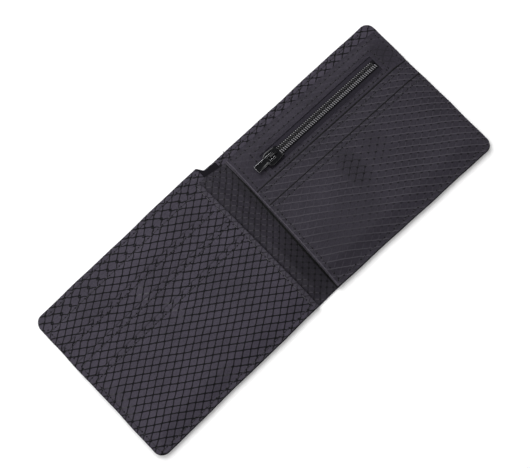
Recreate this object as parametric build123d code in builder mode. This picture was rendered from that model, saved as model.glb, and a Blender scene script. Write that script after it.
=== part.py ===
"""Bifold wallet in diamond ripstop cloth, opened flat with its pockets facing up.

Millimetres. +X runs along the open wallet, +Y points to the open top edge of the note
compartment, +Z is up. The origin is the middle of the underside, on the fold line.
Every cloth piece is a flat sheet. Its turned-in seam allowances are loose strips under
it, so that each pocket between two sheets stays a real gap, open at its mouth.
"""

import os
from math import atan2, degrees, hypot

from build123d import *

# Overall size.
open_width = 230.0
height = 92.0
corner_radius = 5.0
half_width = open_width / 2
top = height / 2
fold_clearance = 0.15  # each half stops this far short of the fold line
fold_rise = 0.2  # the fold's axis stands this far above the middle of the closed stack
inset = 0.5  # inner sheets stop this far inside the shell's edge
stack_inner = 8.2  # free inner edge of each pocket stack, from the fold line

# Cloth layers, from the underside up.
shell_thick = 0.4
lining_thick = 0.25
note_gap = 1.0
cloth_thick = 0.35
hidden_gap = 0.5
base_thick = 0.3
slot_gap = 0.2
seat = 0.02  # a turned strip stops this far short of the sheets above and below
lining_z = shell_thick
divider_z = lining_z + lining_thick + note_gap
base_z = divider_z + cloth_thick + hidden_gap
base_top = base_z + base_thick

# Heights of the pocket mouths, measured down from the shell's top edge.
divider_drop = 5.4
left_mouths = (18.8, 29.2, 39.6)
right_mouths = (28.2, 38.4)
notch_depth_top = 1.2
notch_depth_bottom = 0.8
notch_half = 7.0
turned_width = 3.0
strip_gap = 0.1  # between two turned strips that meet at a corner
mouth_radius = 1.5  # at the outer end of a pocket's mouth

# Zip.
zip_y = top - 20.0
window_left = 22.8
window_right = 100.8
window_height = 9.6
window_radius = 1.5
zip_pocket_gap = 0.9
tape_thick = 0.3
tape_half = 8.9
tape_overlap = 4.0
split_half = 0.65  # half the gap between the two tapes, where the slider's post runs
coil_half = 2.2
coil_thick = 1.1
coil_back = 0.6  # solid back of each coil, along its tape
coil_end_gap = 0.3  # each coil stops this far short of the window's ends
coil_pitch = 1.2
tooth_width = 0.7
tape_z = base_top + zip_pocket_gap
zip_panel_z = tape_z + tape_thick

# Zip slider and pull, placed at the closed end of the zip.
slider_x = 27.8
slider_half_length = 4.7
slider_wide = 3.8
slider_narrow = 3.1
slider_nose = 2.6
slider_shoulder = 1.6  # from the nose to the full width
slider_waist = 0.6  # the sides start to close this far left of the middle
slider_corner = 0.7
edge_chamfer = 0.2
plate_thick = 0.6
lower_plate_thick = 0.5
running_gap = 0.2
post_half = 0.5
post_length = 2.4
post_offset = 3.0
wall_play = 0.25  # between the coils and the slider's walls
wall_gap = 0.15  # between the walls and the tape
bridge_half_length = 2.6
bridge_half_width = 0.6
bridge_leg = 0.7
bridge_beam = 0.5
bridge_clear = 1.1
bridge_radius = 0.55
pull_length = 11.6
pull_half_width = 1.95
pull_thick = 0.7
pull_rise = 0.55  # pivot above the slider's upper plate
eye_half_width = 0.95
eye_reach = 3.2
pull_radius = 0.5
eye_radius = 0.3

# Stitching.
stitch_pitch = 3.3
stitch_length = 2.3
thread_width = 0.45
thread_height = 0.18
edge_stitch = 2.5  # seam line inside an edge
inner_stitch = 2.2  # the same inside the free inner edge
seam_stop = 0.4  # a seam stops this far short of an edge it runs up to
seam_gap = 1.4  # and this far short of a seam it meets
mouth_stitch = 2.8  # seam line below a pocket mouth
hem_stitch = 8.0
shell_hem_stitch = 2.3
box_margin = 2.5  # zip box seam outside the window, across the zip
box_end_left = 3.3  # the same at the window's left end
box_end_right = 2.8
box_rise = 0.9  # the seam's middle stands this far above the zip


def span(side, inner, outer):
    """Left and right X of a strip between two distances from the fold line."""
    return sorted((side * inner, side * outer))


def sheet_outline(side, inner, outer, low, high, low_radius, high_radius):
    """Face of a sheet on one half, with its two outer corners rounded."""
    x_low, x_high = span(side, inner, outer)
    with Locations(((x_low + x_high) / 2, (low + high) / 2)):
        panel = Rectangle(x_high - x_low, high - low)
    corners = panel.vertices().sort_by(Axis.X)
    outer_corners = corners[-2:] if side > 0 else corners[:2]
    low_corner, high_corner = outer_corners.sort_by(Axis.Y)
    fillet(low_corner, low_radius)
    fillet(high_corner, high_radius)


def finish(name, builder):
    """Labels a finished piece and writes its STEP file."""
    builder.part.label = name
    export_step(builder.part, f"parts/{name}.step")


def shell_sheet(side, z, thick, edge):
    """Full-height sheet of one half, dipping a little at both ends of the fold line."""
    with BuildPart() as sheet:
        with BuildSketch(Plane.XY.offset(z)):
            sheet_outline(side, fold_clearance, half_width - edge, edge - top, top - edge,
                          corner_radius, corner_radius)
            for end, depth in ((1, notch_depth_top), (-1, notch_depth_bottom)):
                notch_radius = (notch_half**2 + depth**2) / (2 * depth)
                with Locations((0, end * (top - edge + notch_radius - depth))):
                    Circle(notch_radius, mode=Mode.SUBTRACT)
        extrude(amount=thick)
    return sheet


def pocket_sheet(side, inner, low, high, z, thick, drop, strips, window=False):
    """Sheet with its turned-in strips, drop below it, along the named edges."""
    outer = half_width - inset
    with BuildPart() as sheet:
        with BuildSketch(Plane.XY.offset(z)):
            sheet_outline(side, inner, outer, low, high, corner_radius - inset, mouth_radius)
            if window:
                with Locations(((window_left + window_right) / 2, zip_y)):
                    RectangleRounded(window_right - window_left, window_height, window_radius,
                                     mode=Mode.SUBTRACT)
        extrude(amount=thick)
        for strip in strips:
            near, far = inner, outer
            y_low, y_high = low, high
            if strip == "outer":
                near = outer - turned_width
                y_low = low + corner_radius
                y_high = high - mouth_radius
            elif strip == "inner":
                far = inner + turned_width
                y_low = low + turned_width + strip_gap
                y_high = high - (turned_width + strip_gap if "top" in strips else 0)
            elif strip == "bottom":
                y_high = low + turned_width
                far = outer - corner_radius
            elif strip == "top":
                y_low = high - turned_width
                far = outer - turned_width - strip_gap
            x_low, x_high = span(side, near, far)
            with BuildSketch(Plane.XY.offset(z - drop + seat)):
                with Locations(((x_low + x_high) / 2, (y_low + y_high) / 2)):
                    Rectangle(x_high - x_low, y_high - y_low)
            extrude(amount=drop - 2 * seat)
    return sheet


def run(start, end, z):
    """Places of the stitches of one straight seam, evenly spaced."""
    dx, dy = end[0] - start[0], end[1] - start[1]
    length = hypot(dx, dy)
    count = max(1, round(length / stitch_pitch))
    turn = degrees(atan2(dy, dx))
    return [
        Location((start[0] + dx * (i + 0.5) / count, start[1] + dy * (i + 0.5) / count, z), (0, 0, turn))
        for i in range(count)
    ]


def thread(places):
    """One seam's stitches, each a short bar lying on the cloth."""
    with BuildPart() as seam:
        with Locations(*places):
            Box(stitch_length, thread_width, thread_height, align=(Align.CENTER, Align.CENTER, Align.MIN))
    return seam


os.makedirs("parts", exist_ok=True)

# For each half, the upper edges of the stacked sheets from the back to the front one, then the
# wallet's bottom edge, and the height of each sheet's top.
divider_top_y = top - divider_drop
bottom_y = inset - top
left_edges = [divider_top_y] + [top - m for m in left_mouths] + [bottom_y]
right_edges = [divider_top_y] + [top - m for m in right_mouths] + [bottom_y]
layer_pitch = cloth_thick + slot_gap
left_tops = [base_top + i * layer_pitch for i in range(len(left_mouths) + 1)]
zip_panel_top = zip_panel_z + cloth_thick
right_tops = [zip_panel_top + i * layer_pitch for i in range(len(right_mouths) + 1)]

for side, word, edges, tops in ((-1, "left", left_edges, left_tops), (1, "right", right_edges, right_tops)):
    # Outer shell, lining of the note compartment, and the divider in front of it.
    finish(f"{word}_shell", shell_sheet(side, 0, shell_thick, 0))
    finish(f"{word}_shell_lining", shell_sheet(side, lining_z, lining_thick, inset))
    finish(f"{word}_divider", pocket_sheet(side, fold_clearance, bottom_y, divider_top_y, divider_z,
                                           cloth_thick, note_gap, ("outer", "bottom")))
    # Base of the pocket stack. Its free inner edge is the mouth of the hidden slip pocket.
    finish(f"{word}_stack_base", pocket_sheet(side, stack_inner, bottom_y, divider_top_y, base_z,
                                              base_thick, hidden_gap, ("outer", "bottom", "top")))

    # Seams that show from above.
    line = half_width - edge_stitch
    inner_line = stack_inner + inner_stitch
    outer_seam = []
    inner_seam = []
    for i, z in enumerate(tops):
        high = edges[i] - seam_stop
        low = edges[i + 1] + (seam_stop if i < len(tops) - 1 else corner_radius)
        outer_seam += run((side * line, low), (side * line, high), z)
        inner_seam += run((side * inner_line, low), (side * inner_line, high), z)
    bottom_line = edge_stitch - top
    outer_seam += run((side * (stack_inner + seam_stop), bottom_line),
                      (side * (half_width - corner_radius - seam_stop), bottom_line), tops[-1])
    finish(f"{word}_edge_thread", thread(outer_seam))
    finish(f"{word}_inner_edge_thread", thread(inner_seam))

    hem_y = top - hem_stitch
    hem = run((side * (fold_clearance + seam_stop), hem_y), (side * (stack_inner - seam_stop), hem_y),
              divider_z + cloth_thick)
    hem += run((side * (inner_line + seam_gap), hem_y), (side * (line - seam_gap), hem_y), tops[0])
    finish(f"{word}_hem_thread", thread(hem))

    shell_hem_y = top - shell_hem_stitch
    shell_hem = run((side * (fold_clearance + seam_stop), shell_hem_y),
                    (side * (half_width - corner_radius - seam_stop), shell_hem_y), lining_z + lining_thick)
    finish(f"{word}_shell_thread", thread(shell_hem))

    mouth_seams = []
    for i, z in enumerate(tops[1:], start=1):
        y = edges[i] - mouth_stitch
        mouth_seams += run((side * (inner_line + seam_gap), y), (side * (line - seam_gap), y), z)
    finish(f"{word}_mouth_thread", thread(mouth_seams))

# Card pockets, each one layer above the last.
for i, name in enumerate(("upper", "middle", "front")):
    sheet_z = left_tops[i + 1] - cloth_thick
    finish(f"left_card_pocket_{name}", pocket_sheet(-1, stack_inner, bottom_y, left_edges[i + 1], sheet_z,
                                                    cloth_thick, slot_gap, ("outer", "inner", "bottom")))
for i, name in enumerate(("upper", "front")):
    sheet_z = right_tops[i + 1] - cloth_thick
    finish(f"right_card_pocket_{name}", pocket_sheet(1, stack_inner, bottom_y, right_edges[i + 1], sheet_z,
                                                     cloth_thick, slot_gap, ("outer", "inner", "bottom")))

# Coin pocket: front sheet with the zip's window, and the two tapes with their coils.
finish("zip_panel", pocket_sheet(1, stack_inner, bottom_y, divider_top_y, zip_panel_z, cloth_thick,
                                 zip_panel_z - base_top, ("outer", "inner", "bottom", "top"), window=True))

for sign, word in ((1, "upper"), (-1, "lower")):
    with BuildPart() as tape:
        with BuildSketch(Plane.XY.offset(tape_z)):
            with Locations(((window_left + window_right) / 2, zip_y + sign * (split_half + tape_half) / 2)):
                Rectangle(window_right - window_left + 2 * tape_overlap, tape_half - split_half)
        extrude(amount=tape_thick)
    finish(f"zip_tape_{word}", tape)

    # The coil is sewn to its tape. Its teeth reach in to the gap, staggered half a pitch row to row.
    coil_length = window_right - window_left - 2 * coil_end_gap
    coil_middle = (window_left + window_right) / 2
    teeth = int((coil_length - 2 * coil_pitch) / coil_pitch)
    with BuildPart() as coil:
        with BuildSketch(Plane.XY.offset(zip_panel_z)):
            with Locations((coil_middle, zip_y + sign * (coil_half - coil_back / 2))):
                Rectangle(coil_length, coil_back)
            reach = coil_half - coil_back / 2 - split_half
            with Locations((coil_middle + sign * coil_pitch / 4, zip_y + sign * (split_half + reach / 2))):
                with GridLocations(coil_pitch, 0, teeth, 1):
                    Rectangle(tooth_width, reach)
        extrude(amount=coil_thick)
    finish(f"zip_coil_{word}", coil)

box_left = window_left - box_end_left
box_right = window_right + box_end_right
box_low = zip_y - window_height / 2 - box_margin + box_rise
box_high = zip_y + window_height / 2 + box_margin + box_rise
box_seam = run((box_left + seam_gap, box_high), (box_right - seam_gap, box_high), zip_panel_top)
box_seam += run((box_left + seam_gap, box_low), (box_right - seam_gap, box_low), zip_panel_top)
box_seam += run((box_left, box_low + seam_stop), (box_left, box_high - seam_stop), zip_panel_top)
box_seam += run((box_right, box_low + seam_stop), (box_right, box_high - seam_stop), zip_panel_top)
finish("zip_box_thread", thread(box_seam))

# Slider: two plates joined by a post at its wide end, with side walls over the coils.
plate_points = [
    (-slider_half_length, slider_nose),
    (-slider_half_length + slider_shoulder, slider_wide),
    (-slider_waist, slider_wide),
    (slider_half_length, slider_narrow),
]
plate_outline = plate_points + [(x, -y) for x, y in reversed(plate_points)]
coil_top = zip_panel_z + coil_thick
upper_z = coil_top + running_gap
upper_top = upper_z + plate_thick
lower_top = tape_z - running_gap
wall_low = tape_z + tape_thick + wall_gap
channel_half = coil_half + wall_play
slider_place = (slider_x, zip_y)


def plate_face():
    """Outline that the slider's two plates and its side walls share."""
    with Locations(slider_place):
        with BuildSketch(mode=Mode.PRIVATE) as outline:
            with BuildLine():
                Polyline(plate_outline, close=True)
            make_face()
            fillet(outline.vertices(), slider_corner)
        add(outline.sketch)


with BuildPart() as slider_body:
    with BuildSketch(Plane.XY.offset(lower_top - lower_plate_thick)):
        plate_face()
    extrude(amount=lower_plate_thick)
    with BuildSketch(Plane.XY.offset(upper_z)):
        plate_face()
    extrude(amount=plate_thick)
    rim = slider_body.faces().sort_by(Axis.Z)[-1].edges()
    chamfer(rim, edge_chamfer)
    with BuildSketch(Plane.XY.offset(wall_low)):
        plate_face()
        with Locations(slider_place):
            Rectangle(4 * slider_half_length, 2 * channel_half, mode=Mode.SUBTRACT)
    extrude(amount=upper_z - wall_low)
    with BuildSketch(Plane.XY.offset(lower_top)):
        with Locations((slider_x - post_offset, zip_y)):
            SlotOverall(post_length, 2 * post_half)
    extrude(amount=upper_z - lower_top)
finish("slider_body", slider_body)

# Bridge over the slider's upper plate, which holds the pull.
beam_low = upper_top + bridge_clear
bridge_top = beam_low + bridge_beam
with BuildPart() as slider_bridge:
    with BuildSketch(Plane.XZ.offset(-zip_y - bridge_half_width)):
        with Locations((slider_x, (upper_top + bridge_top) / 2)):
            arch = Rectangle(2 * bridge_half_length, bridge_top - upper_top)
        fillet(arch.vertices().sort_by(Axis.Z)[-2:], bridge_radius)
        with Locations((slider_x, (upper_top + beam_low) / 2)):
            Rectangle(2 * (bridge_half_length - bridge_leg), bridge_clear, mode=Mode.SUBTRACT)
    extrude(amount=2 * bridge_half_width)
finish("slider_bridge", slider_bridge)

# Pull: a flat tab whose eye runs round the bridge; its cross bar turns under the beam.
pivot_z = upper_top + pull_rise
with BuildPart() as pull_tab:
    with BuildSketch(Plane.XY.offset(pivot_z - pull_thick / 2)):
        with Locations((slider_x - pull_length / 2, zip_y)):
            blade = Rectangle(pull_length, 2 * pull_half_width)
        fillet(blade.vertices().sort_by(Axis.X)[:2], pull_radius)
        with Locations((slider_x - (eye_reach + pull_thick / 2) / 2, zip_y)):
            RectangleRounded(eye_reach - pull_thick / 2, 2 * eye_half_width, eye_radius, mode=Mode.SUBTRACT)
    extrude(amount=pull_thick)
    with BuildSketch(Plane.XZ.offset(-zip_y - pull_half_width)):
        with Locations((slider_x, pivot_z)):
            Circle(pull_thick / 2)
    extrude(amount=2 * pull_half_width)
    outer_rim = pull_tab.faces().sort_by(Axis.Z)[-1].outer_wire().edges().filter_by(Axis.X)
    chamfer(outer_rim, edge_chamfer)
finish("pull_tab", pull_tab)

fold_z = (bridge_top + left_tops[-1]) / 2 + fold_rise
print(f"fold axis z {fold_z:.3f}, pull pivot x {slider_x} y {zip_y} z {pivot_z:.3f}")
print(f"left top {left_tops[-1]:.2f}, right top {right_tops[-1]:.2f}, bridge top {bridge_top:.2f}")
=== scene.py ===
import math

import bpy
import numpy as np
from mathutils import Matrix, Vector


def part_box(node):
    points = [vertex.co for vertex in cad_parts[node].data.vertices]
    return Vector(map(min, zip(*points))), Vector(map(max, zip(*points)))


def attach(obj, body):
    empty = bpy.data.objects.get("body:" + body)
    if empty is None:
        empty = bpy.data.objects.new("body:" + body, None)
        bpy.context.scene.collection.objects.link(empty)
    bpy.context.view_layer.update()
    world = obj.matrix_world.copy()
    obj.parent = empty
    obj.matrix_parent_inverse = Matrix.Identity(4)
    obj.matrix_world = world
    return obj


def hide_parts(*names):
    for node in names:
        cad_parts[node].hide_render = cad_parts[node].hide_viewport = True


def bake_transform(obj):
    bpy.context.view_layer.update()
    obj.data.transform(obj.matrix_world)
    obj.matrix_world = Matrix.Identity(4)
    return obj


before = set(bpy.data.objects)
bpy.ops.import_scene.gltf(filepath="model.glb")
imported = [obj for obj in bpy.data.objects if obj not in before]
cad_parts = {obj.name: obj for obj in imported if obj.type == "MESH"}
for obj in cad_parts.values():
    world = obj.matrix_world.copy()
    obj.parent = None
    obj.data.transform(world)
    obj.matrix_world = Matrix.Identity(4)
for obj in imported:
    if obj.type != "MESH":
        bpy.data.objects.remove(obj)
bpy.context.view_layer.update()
mm = 0.001  # lengths below are in millimetres unless a name says otherwise

# Camera and light

camera = {
    "aim": (-2.04, 0.45, 0),
    "distance": 697.8,
    "heading": 52.71,  # degrees from +Y towards +X
    "elevation": 76.18,
    "roll": 9.21,
    "lens": 95.1,
}


def viewDirection(heading, elevation):
    flat = math.cos(math.radians(elevation))
    turn = math.radians(heading)
    return Vector((flat * math.sin(turn), flat * math.cos(turn), -math.sin(math.radians(elevation))))


def addCamera():
    towards = viewDirection(camera["heading"], camera["elevation"])
    place = Vector(camera["aim"]) * mm - towards * camera["distance"] * mm
    bpy.ops.object.camera_add(location=place)
    cam = bpy.context.object
    cam.name = "mainCamera"
    turn = towards.to_track_quat("-Z", "Y").to_matrix() @ Matrix.Rotation(math.radians(camera["roll"]), 3, "Z")
    cam.rotation_euler = turn.to_euler()
    cam.data.lens = camera["lens"]
    cam.data.sensor_width = 36
    cam.data.clip_start = 0.01
    bpy.context.scene.camera = cam
    print("camera in place")


# size and distance in metres, power in watts
lamps = {
    "keyLight": {"heading": 185, "elevation": 50, "distance": 1.3, "size": 0.9, "power": 13},
    "fillLight": {"heading": 115, "elevation": 60, "distance": 1.6, "size": 1.4, "power": 11},
    "sideLight": {"heading": 290, "elevation": 35, "distance": 1.4, "size": 1.2, "power": 2.5},
    "glintLight": {"heading": 165, "elevation": 40, "distance": 1.2, "size": 0.06, "power": 1.0},
}
studio = {"floorColour": 0.93, "worldGrey": 1.0, "worldStrength": 0.3}


def addLights():
    for name, lamp in lamps.items():
        towards = viewDirection(lamp["heading"], lamp["elevation"])
        bpy.ops.object.light_add(type="AREA", location=-towards * lamp["distance"])
        light = bpy.context.object
        light.name = name
        light.rotation_euler = towards.to_track_quat("-Z", "Y").to_euler()
        light.data.shape = "DISK"
        light.data.size = lamp["size"]
        light.data.energy = lamp["power"]
    world = bpy.context.scene.world or bpy.data.worlds.new("studio")
    bpy.context.scene.world = world
    world.use_nodes = True
    sky = world.node_tree.nodes["Background"]
    sky.inputs["Color"].default_value = (studio["worldGrey"],) * 3 + (1,)
    sky.inputs["Strength"].default_value = studio["worldStrength"]
    bpy.context.scene.view_settings.view_transform = "Standard"
    print("lights in place")


# Shader maths


class Wire:
    # an output socket that can be added, multiplied and so on

    def __init__(self, tree, socket):
        self.tree = tree
        self.socket = socket

    # any node: its type, its settings, then its sockets' values or links
    def node(self, kind, settings=None, inputs=None, out=0):
        made = self.tree.nodes.new(kind)
        for key, value in (settings or {}).items():
            setattr(made, key, value)
        for key, value in (inputs or {}).items():
            if isinstance(value, Wire):
                self.tree.links.new(value.socket, made.inputs[key])
            else:
                made.inputs[key].default_value = value
        return Wire(self.tree, made.outputs[out])

    def maths(self, operation, *values):
        return self.node("ShaderNodeMath", {"operation": operation}, dict(enumerate(values)))

    def __add__(self, other):
        return self.maths("ADD", self, other)

    __radd__ = __add__

    def __sub__(self, other):
        return self.maths("SUBTRACT", self, other)

    def __rsub__(self, other):
        return self.maths("SUBTRACT", other, self)

    def __mul__(self, other):
        return self.maths("MULTIPLY", self, other)

    __rmul__ = __mul__

    def __truediv__(self, other):
        return self.maths("DIVIDE", self, other)

    def __abs__(self):
        return self.maths("ABSOLUTE", self)

    def most(self, other):
        return self.maths("MAXIMUM", self, other)

    # distance to the nearest whole number
    def toWhole(self):
        return abs(self.maths("FRACT", self + 0.5) - 0.5)

    # 0 below low, 1 above high, smooth between
    def ramp(self, low, high):
        return self.node("ShaderNodeMapRange", {"interpolation_type": "SMOOTHSTEP"},
                         {0: self, 1: low, 2: high, 3: 0.0, 4: 1.0})

    def length(self, other):
        return self.maths("SQRT", self * self + other * other)

    # colour one where this is 0, colour two where it is 1
    def blend(self, one, two):
        return self.node("ShaderNodeMix", {"data_type": "RGBA"}, {0: self, 6: one, 7: two}, out=2)

    def parts(self):
        split = self.node("ShaderNodeSeparateXYZ", {}, {0: self})
        outs = split.socket.node.outputs
        return [Wire(self.tree, outs[i]) for i in range(3)]


def rgb(red, green, blue):
    return (red, green, blue, 1)


def newMaterial(name, fixed):
    # returns the material, its shader node and a wire to start from
    material = bpy.data.materials.new(name)
    material.use_nodes = True
    tree = material.node_tree
    shader = tree.nodes["Principled BSDF"]
    for socket, value in fixed.items():
        shader.inputs[socket].default_value = value
    material.diffuse_color = fixed.get("Base Color", (0.1, 0.1, 0.1, 1))
    return material, shader, Wire(tree, tree.nodes.new("ShaderNodeTexCoord").outputs["Object"])


def connect(wire, shader, socket):
    wire.tree.links.new(wire.socket, shader.inputs[socket])


def noise(place, scale, detail=2.0, roughness=0.5):
    return place.node("ShaderNodeTexNoise", {}, {"Vector": place, "Scale": scale, "Detail": detail,
                                                  "Roughness": roughness})


def bump(height, strength, depth):
    return height.node("ShaderNodeBump", {}, {"Height": height, "Strength": strength, "Distance": depth * mm})


stitch = {"pitch": 3.3, "length": 2.75, "width": 0.44, "height": 0.3, "sunk": 0.45, "hole": 0.34}

# the diamond grid, corner to corner, along the wallet and across it
ripstop = {"size": (6.2, 4.35), "line": 0.27, "soft": 0.13, "dot": 0.66}

# Colours of the cloth between its lines, of both families of lines and of the dots where they
# cross. The finishes are one ripstop cloth painted lit and shaded: on the right half the rib lines
# are painted pale, a painted sheen, and the cloth between them is painted darker; the strip between
# the stacks is painted in shade. Lines turn dark inside the ovals listed, painted shade where the
# cloth turns from the light: centre x, y and half sizes in mm, then how dark; glint ovals are
# painted highlights. line is half a line's width, under moves the dots to one side of their line
# as a painted shadow beside it, dotsFrom is where along X they come in, dim darkens the cloth
# inside the ovals as painted shade, and the shadow line key is a dark line painted as the shadow
# beside the right stack's rim.
darkLines = {
    "lineOne": rgb(0.004, 0.004, 0.005), "lineTwo": rgb(0.007, 0.006, 0.008), "dot": rgb(0.001, 0.001, 0.002),
}
finishes = {
    "left": {"ground": rgb(0.048, 0.0415, 0.0585), **darkLines, "dark": [],
             "glint": [(-67, 19, 5, 7, 0.8), (-61, 3, 4, 9, 0.7), (-64, -38, 6, 6, 0.4), (-110, -12, 4, 16, 0.5)]},
    "right": {"ground": rgb(0.0265, 0.0232, 0.0325), "lineOne": rgb(0.047, 0.043, 0.053),
              "lineTwo": rgb(0.033, 0.0295, 0.039), "dot": rgb(0.007, 0.006, 0.009), "line": 0.2, "under": 0.15, "dotsFrom": (20, 65),
              "dark": [(53, -7, 8, 14, 0.8), (32, -26, 24, 14, 0.3), (69, -6, 9, 10, 0.45)]},
    "plain": {"ground": rgb(0.026, 0.0225, 0.032), "lineOne": rgb(0.029, 0.025, 0.035),
              "lineTwo": rgb(0.024, 0.021, 0.030), "dot": rgb(0.032, 0.029, 0.038), "dark": [(107, 27, 7, 10, 0.55)]},
    "rim": {"ground": rgb(0.047, 0.042, 0.056), "lineOne": rgb(0.018, 0.016, 0.021),
            "lineTwo": rgb(0.022, 0.019, 0.026), "dot": rgb(0.010, 0.009, 0.012), "dark": []},
    # the right rim's roll is painted lighter: a painted highlight where it faces the light
    "rimPaintedHighlight": {"ground": rgb(0.064, 0.058, 0.073), "lineOne": rgb(0.060, 0.054, 0.069),
                  "lineTwo": rgb(0.058, 0.052, 0.067), "dot": rgb(0.050, 0.045, 0.058), "dark": []},
    "strip": {"ground": rgb(0.0225, 0.0197, 0.0275), "lineOne": rgb(0.045, 0.041, 0.05),
              "lineTwo": rgb(0.009, 0.008, 0.011), "dot": rgb(0.008, 0.007, 0.009), "line": 0.14, "dim": 0.35,
              "dark": [(4, -28, 10, 30, 0.85), (8, 18, 5, 24, 0.8)], "rimShadowLine": ((5.15, -45.5), (8.7, 41.0), 0.45)},
}


def clothMaterial(name, finish, shift=(0, 0), size=ripstop["size"], rows=(), columns=(), gaps=(), wave=0.45):
    # the cloth's own flat map is in millimetres
    tones = finishes[finish]
    material, shader, start = newMaterial(name, {
        "Specular IOR Level": 0.12, "Sheen Weight": 0.03, "Sheen Roughness": 0.5})
    flat = start.node("ShaderNodeUVMap", {"uv_map": "cloth"})
    x, y, unused = flat.parts()
    broad = noise(flat, 0.045, 3.0)
    wobble = noise(flat, 0.16, 2.0)
    grain = noise(flat, 2.6, 2.0, 0.7)
    fleck = noise(flat, 0.85, 2.0, 0.7)

    # stitch holes, and the cloth drawn in between them
    holes = None
    draw = None
    alongX = (x / stitch["pitch"]).toWhole() * stitch["pitch"]
    alongY = (y / stitch["pitch"]).toWhole() * stitch["pitch"]
    for at, low, high in rows:
        away = y - at
        within = x.ramp(low - 0.3, low) - x.ramp(high, high + 0.3)
        hole = (1 - alongX.length(away).ramp(stitch["hole"] * 0.6, stitch["hole"] * 1.5)) * within
        pull = (1 - abs(away).ramp(0.3, 2.4)) * (alongX - stitch["pitch"] / 4)
        holes = hole if holes is None else holes.most(hole)
        draw = pull if draw is None else draw + pull
    for at, low, high in columns:
        within = y.ramp(low - 0.3, low) - y.ramp(high, high + 0.3)
        hole = (1 - alongY.length(x - at).ramp(stitch["hole"] * 0.6, stitch["hole"] * 1.5)) * within
        holes = hole if holes is None else holes.most(hole)

    # two families of lines make the diamonds
    across = (x + (wobble - 0.5) * wave * 3 + shift[0]) / size[0]
    up = y + (broad - 0.5) * wave * 4 + shift[1]
    if draw is not None:
        up = up + draw * 0.45
    up = up / size[1]
    spacing = 1 / math.hypot(1 / size[0], 1 / size[1])
    one = (across + up).toWhole() * spacing
    two = (across - up).toWhole() * spacing
    width = tones.get("line", ripstop["line"])
    low = width - ripstop["soft"] / 2
    high = width + ripstop["soft"]
    lineOne = 1 - one.ramp(low, high)
    lineTwo = 1 - two.ramp(low, high)
    beside = (across + up + tones.get("under", 0)).toWhole() * spacing
    dot = 1 - beside.length(two).ramp(ripstop["dot"] * 0.5, ripstop["dot"] * 1.2)

    # where the cloth turns from the light, pale lines go dark
    colourOne = tones["lineOne"]
    colourTwo = tones["lineTwo"]
    colourDot = tones["dot"]
    turned = None
    for middleX, middleY, halfX, halfY, amount in tones["dark"]:
        oval = (1 - ((x - middleX) / halfX).length((y - middleY) / halfY).ramp(0.45, 1.1)) * amount
        turned = oval if turned is None else turned.most(oval)
    if turned is not None:
        colourOne = turned.blend(colourOne, darkLines["lineOne"])
        colourTwo = turned.blend(colourTwo, darkLines["lineTwo"])
        colourDot = turned.blend(colourDot, darkLines["dot"])
    # and here and there the rib lines catch the light instead
    for middleX, middleY, halfX, halfY, amount in tones.get("glint", []):
        oval = (1 - ((x - middleX) / halfX).length((y - middleY) / halfY).ramp(0.3, 1.0)) * amount
        colourOne = oval.blend(colourOne, rgb(0.085, 0.08, 0.092))
    shade = 0.86 + (broad - 0.5) * 0.6 + (grain - 0.5) * 0.65 + (fleck - 0.5) * 0.65
    # inside those ovals the cloth between the lines is painted darker as well: painted shade
    if turned is not None:
        shade = shade * (1 - turned * tones.get("dim", 0))
    ground = shade.node("ShaderNodeVectorMath", {"operation": "SCALE"}, {0: tones["ground"][:3], "Scale": shade})
    colour = lineTwo.blend(ground, colourTwo)
    # where the dots are moved under their line they are painted dark beside each pale line: a painted shadow of the
    # rib
    if "under" in tones:
        dot = dot * (0.3 + 0.7 * x.ramp(*tones["dotsFrom"]))
        colour = lineOne.blend(dot.blend(colour, colourDot), colourOne)
    else:
        colour = dot.blend(lineOne.blend(colour, colourOne), colourDot)
    # a painted shadow: a near-black line on the strip beside the right stack's raised rim
    if "rimShadowLine" in tones:
        (startX, startY), (endX, endY), half = tones["rimShadowLine"]
        rimShadowLine = 1 - abs(x - startX - (y - startY) * ((endX - startX) / (endY - startY))).ramp(half * 0.6, half * 1.5)
        colour = rimShadowLine.blend(colour, rgb(0.001, 0.001, 0.001))
    # stitch holes painted near-black: painted shade inside each needle hole
    if holes is not None:
        colour = holes.blend(colour, rgb(0.002, 0.002, 0.002))
    # the shadow just behind the mouth of the pocket that lies on this sheet
    for at, low, high, amount in gaps:
        within = x.ramp(low - 0.3, low) - x.ramp(high, high + 0.3)
        gap = (1 - abs(y - at - 0.15).ramp(0.35, 0.85)) * within
        colour = (gap * amount).blend(colour, rgb(0.001, 0.001, 0.001))
    connect(colour, shader, "Base Color")
    roughness = 0.52 + grain * 0.16 + lineOne.most(lineTwo) * 0.1
    connect(roughness, shader, "Roughness")

    # weave too fine to see apart, ribs of the grid standing proud of it, holes sunk in
    weave = (x * 2.4).toWhole() + (y * 2.4).toWhole()
    relief = weave * 0.05 + grain * 0.06 + lineOne.most(lineTwo) * 0.06 + wobble * 0.35
    if holes is not None:
        relief = relief - holes * 0.25
    connect(bump(relief, 0.7, 1.0), shader, "Normal")
    return material


def plainCloth(name, colour, ribs, roughness=0.75, dim=None):
    # dim is a line along X and how far either side of it the cloth stays dark: painted shade under the zip's coils
    material, shader, start = newMaterial(name, {"Specular IOR Level": 0.08, "Sheen Weight": 0.02})
    x, y, z = start.parts()
    grain = noise(start, 1500.0, 2.0, 0.6)
    rib = (x * (ribs / mm)).toWhole() + (y * (ribs / mm)).toWhole()
    shade = 0.75 + rib * 0.35 + (grain - 0.5) * 0.6
    if dim:
        shade = shade * (0.3 + 0.7 * abs(y / mm - dim[0]).ramp(dim[1], dim[1] + 0.5))
    base = shade.node("ShaderNodeVectorMath", {"operation": "SCALE"}, {0: colour[:3], "Scale": shade})
    connect(base, shader, "Base Color")
    connect(roughness + (grain - 0.5) * 0.2, shader, "Roughness")
    connect(bump(rib + grain * 0.5, 0.6, 0.12), shader, "Normal")
    return material


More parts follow.
